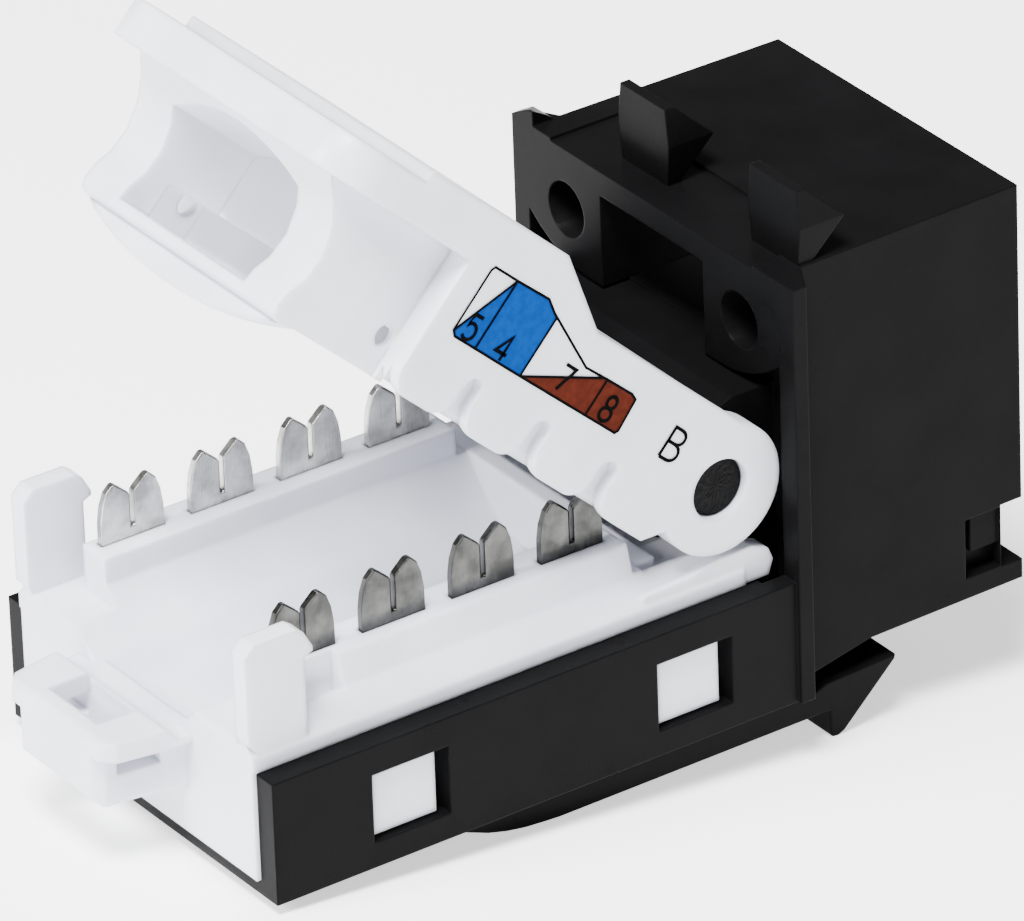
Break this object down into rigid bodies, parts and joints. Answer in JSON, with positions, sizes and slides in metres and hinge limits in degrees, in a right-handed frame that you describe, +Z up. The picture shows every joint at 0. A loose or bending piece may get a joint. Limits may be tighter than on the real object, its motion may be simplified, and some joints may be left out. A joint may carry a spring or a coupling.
{
  "type": "keystone jack",
  "caption": "Toolless modular keystone jack: black plug port and tray, white punch-down contact block and hinged wire cap.",
  "frame": {"origin": "centre of the front face, where the plug goes in", "axes": "+Y from the plug port towards the cable end, +Z up on the side of the plug's latch tab, +X to the right when looking into the port"},
  "size_m": [0.0172, 0.0375, 0.0313],
  "materials": {
    "black_plastic": "satin",
    "white_plastic": "satin",
    "tinned_metal": "bright",
    "gold_wire": "bright",
    "board": "satin"
  },
  "bodies": {
    "jack": {"housing": "black_plastic", "idc_block": "white_plastic", "circuit_board": "board", "contact_carrier": "black_plastic", "idc_contact_1": "tinned_metal", "idc_contact_2": "tinned_metal", "idc_contact_3": "tinned_metal", "idc_contact_4": "tinned_metal", "idc_contact_5": "tinned_metal", "idc_contact_6": "tinned_metal", "idc_contact_7": "tinned_metal", "idc_contact_8": "tinned_metal", "jack_contact_1": "gold_wire", "jack_contact_2": "gold_wire", "jack_contact_3": "gold_wire", "jack_contact_4": "gold_wire", "jack_contact_5": "gold_wire", "jack_contact_6": "gold_wire", "jack_contact_7": "gold_wire", "jack_contact_8": "gold_wire"},
    "cap": {"wire_cap": "white_plastic"},
    "latch": {"panel_latch": "black_plastic"}
  },
  "joints": [
    {"name": "cap_hinge", "type": "hinge", "parent": "jack", "child": "cap", "pos_m": [0, 0.0136, 0.00045], "axis": [1, 0, 0], "range_deg": [-43.3, 44]},
    {"name": "panel_latch_flex", "type": "hinge", "parent": "jack", "child": "latch", "pos_m": [0, 0.0249, -0.00935], "axis": [-1, 0, 0], "range_deg": [0, 2.2], "stiffness_Nm_per_rad": 0.5, "springref_deg": -0.57}
  ]
}
